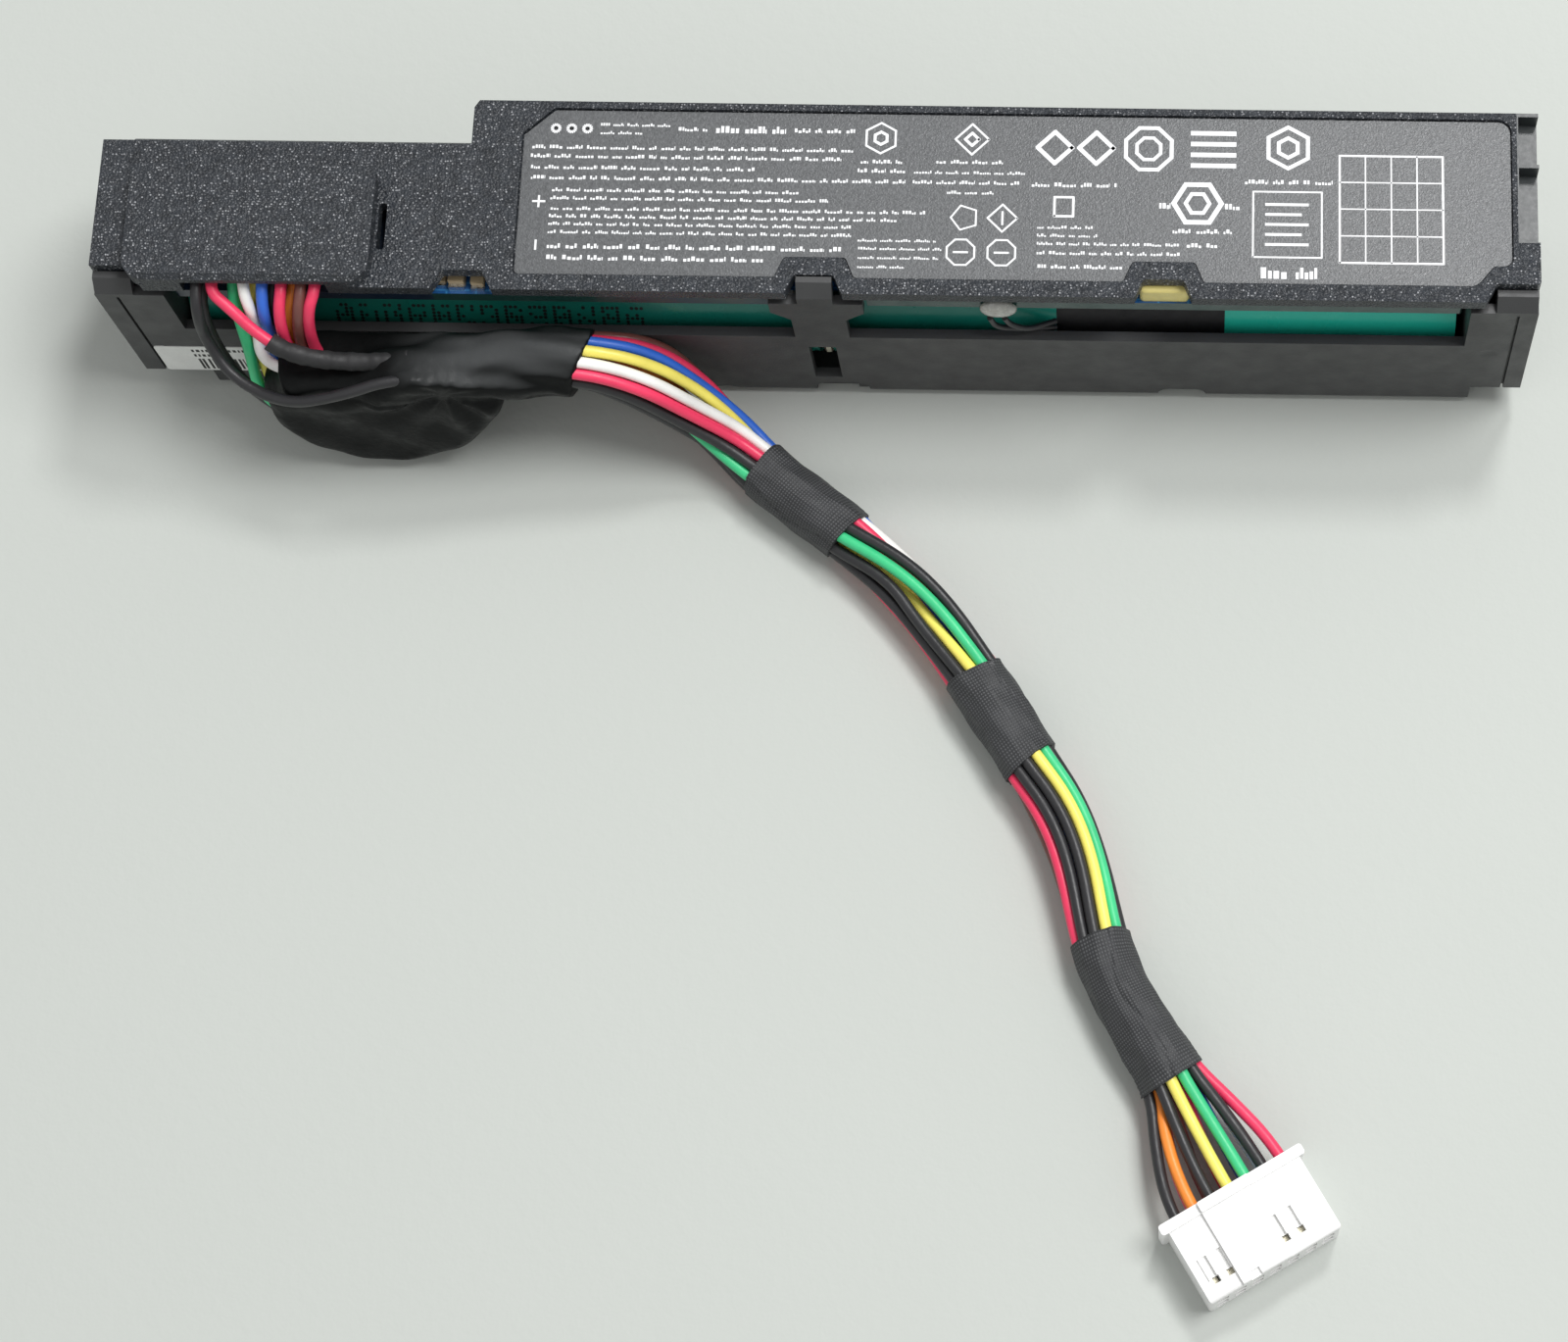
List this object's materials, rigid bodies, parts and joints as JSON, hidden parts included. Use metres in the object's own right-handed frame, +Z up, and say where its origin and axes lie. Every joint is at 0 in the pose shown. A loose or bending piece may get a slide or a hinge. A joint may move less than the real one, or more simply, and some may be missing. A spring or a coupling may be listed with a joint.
{
  "type": "raid battery module",
  "caption": "Slim backup battery module in a black tray with a windowed front, a labelled cover and a taped multi-wire harness ending in a white connector.",
  "frame": {"origin": "centre of the module's base, on the surface it lies on, without the harness", "axes": "+X along the module's length towards the end without the cable hood, +Y from the windowed front wall to the back, +Z up through the cover"},
  "size_m": [0.1454, 0.1175, 0.0277],
  "materials": {
    "cover_plastic": "fine spark-eroded texture, dark grey-black",
    "tray_plastic": "smooth satin moulding, dark grey-black",
    "label_face": null,
    "paper_label": "white paper label with plain bars",
    "cell_metal": "nickel-plated steel",
    "cell_film": "teal-green heat-shrunk film",
    "ring_paper": "white insulating ring",
    "nickel": "nickel strip",
    "black_tape": "thin black tape",
    "foam": "soft black foam",
    "board_green": "blue solder mask with pale edge",
    "chip_black": "moulded epoxy",
    "ceramic": "fired ceramic",
    "solder": "tinned",
    "yellow_tape": "pale yellow tape",
    "header_plastic": "natural plastic",
    "glue": "clouded potting",
    "wire_red": "satin insulation",
    "wire_brown": "satin insulation",
    "wire_orange": "satin insulation",
    "wire_black": "satin insulation",
    "wire_blue": "satin insulation",
    "wire_yellow": "satin insulation",
    "wire_white": "satin insulation",
    "wire_green": "satin insulation",
    "shrink": "black heat-shrink tube",
    "cloth_tape": "black woven cloth tape",
    "plug_plastic": "white nylon",
    "terminal": "tinned crimp terminal"
  },
  "bodies": {
    "root": {"barcode_label": "paper_label", "board_ceramics": "ceramic", "board_chips": "chip_black", "board_solder": "solder", "board_taped_part": "yellow_tape", "bottom_tray": "tray_plastic", "cell_band": "black_tape", "cell_left_can": "cell_metal", "cell_left_cap": "cell_metal", "cell_left_film": "cell_film", "cell_left_ring": "ring_paper", "cell_right_can": "cell_metal", "cell_right_cap": "cell_metal", "cell_right_film": "cell_film", "cell_right_ring": "ring_paper", "circuit_board": "board_green", "cloth_wrap_1": "cloth_tape", "cloth_wrap_2": "cloth_tape", "cloth_wrap_3": "cloth_tape", "connector_housing": "plug_plastic", "connector_terminals": "terminal", "foam_pads": "foam", "heat_shrink": "shrink", "nickel_link": "nickel", "nickel_tab_left": "nickel", "nickel_tab_right": "nickel", "rating_label": "label_face", "sensor_glue": "glue", "sensor_lead_a": "wire_black", "sensor_lead_b": "wire_black", "tape_pouch": "cloth_tape", "top_cover": "cover_plastic", "wire_black_a": "wire_black", "wire_black_b": "wire_black", "wire_black_c": "wire_black", "wire_blue": "wire_blue", "wire_brown": "wire_brown", "wire_green": "wire_green", "wire_header": "header_plastic", "wire_orange": "wire_orange", "wire_red_b": "wire_red", "wire_red_c": "wire_red", "wire_red_d": "wire_red", "wire_white": "wire_white", "wire_yellow": "wire_yellow"}
  },
  "joints": []
}
